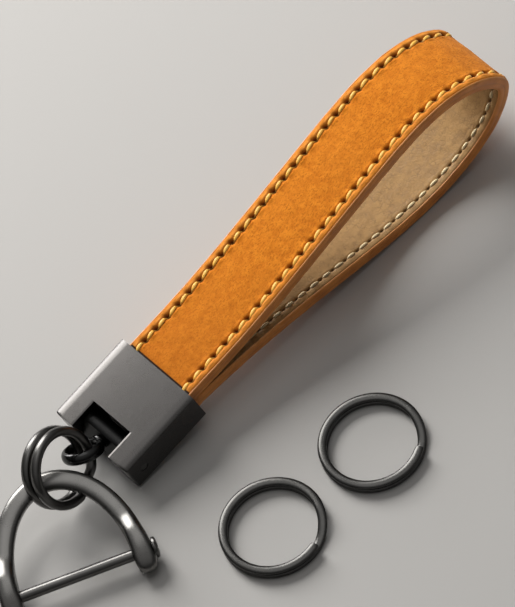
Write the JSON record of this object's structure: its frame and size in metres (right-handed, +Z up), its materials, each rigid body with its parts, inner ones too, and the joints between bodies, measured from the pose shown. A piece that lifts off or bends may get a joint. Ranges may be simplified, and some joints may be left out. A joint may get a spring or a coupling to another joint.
{
  "type": "leather strap keychain",
  "caption": "Sewn leather strap loop held in a metal clasp, with a tilting swivel, a split ring, a screw-pin shackle and loose split rings.",
  "frame": {"origin": "on the table, below the middle of the whole set's bounding box", "axes": "+X from the shackle towards the tip of the strap loop, +Y across the strap, +Z up from the table"},
  "size_m": [0.1496, 0.0618, 0.0275],
  "materials": {
    "suede": "napped tan suede",
    "lining": "embossed beige lining leather",
    "edge_paint": "rounded, painted and burnished edge",
    "needle_thread": "golden waxed thread",
    "bobbin_thread": "pale waxed thread",
    "satin_gunmetal": "satin gunmetal plating",
    "black_nickel": "bright black nickel plating"
  },
  "bodies": {
    "strap_and_clasp": {"strap_outer": "suede", "strap_lining": "lining", "edge_paint_near": "edge_paint", "edge_paint_far": "edge_paint", "needle_thread_near": "needle_thread", "needle_thread_far": "needle_thread", "bobbin_thread_near": "bobbin_thread", "bobbin_thread_far": "bobbin_thread", "clasp_shell": "satin_gunmetal", "strap_screw": "black_nickel", "axle_near": "black_nickel", "axle_far": "black_nickel"},
    "barrel": {"swivel_barrel": "black_nickel"},
    "eye": {"swivel_eye": "black_nickel"},
    "ring": {"connector_ring": "black_nickel"},
    "shackle": {"shackle": "black_nickel"},
    "pin": {"shackle_pin": "black_nickel"},
    "near_key_ring": {"key_ring_near": "black_nickel"},
    "far_key_ring": {"key_ring_far": "black_nickel"}
  },
  "joints": [
    {"name": "barrel_tilt", "type": "hinge", "parent": "strap_and_clasp", "child": "barrel", "pos_m": [-0.03291, 0.02044, 0.00502], "axis": [0, 1, 0], "range_deg": [-50, 30]},
    {"name": "swivel_turn", "type": "hinge", "parent": "barrel", "child": "eye", "pos_m": [-0.03291, 0.02044, 0.00502], "axis": [0.9338, 0, -0.3578], "continuous": true},
    {"name": "ring_swing", "type": "hinge", "parent": "eye", "child": "ring", "pos_m": [-0.03898, 0.02044, 0.00734], "axis": [0.3024, 0.5344, 0.7893], "range_deg": [-50, 22]},
    {"name": "shackle_swing", "type": "hinge", "parent": "ring", "child": "shackle", "pos_m": [-0.04656, 0.01821, 0.00837], "axis": [-0.8988, 0.4384, 0], "range_deg": [-12, 90]},
    {"name": "pin_draw", "type": "slide", "parent": "shackle", "child": "pin", "axis": [0.8988, -0.4384, 0], "range_m": [0, 0.009]},
    {"name": "near_key_ring_lift", "type": "slide", "parent": "strap_and_clasp", "child": "near_key_ring", "axis": [0, 0, 1], "range_m": [0, 0.03]},
    {"name": "far_key_ring_lift", "type": "slide", "parent": "strap_and_clasp", "child": "far_key_ring", "axis": [0, 0, 1], "range_m": [0, 0.03]}
  ]
}
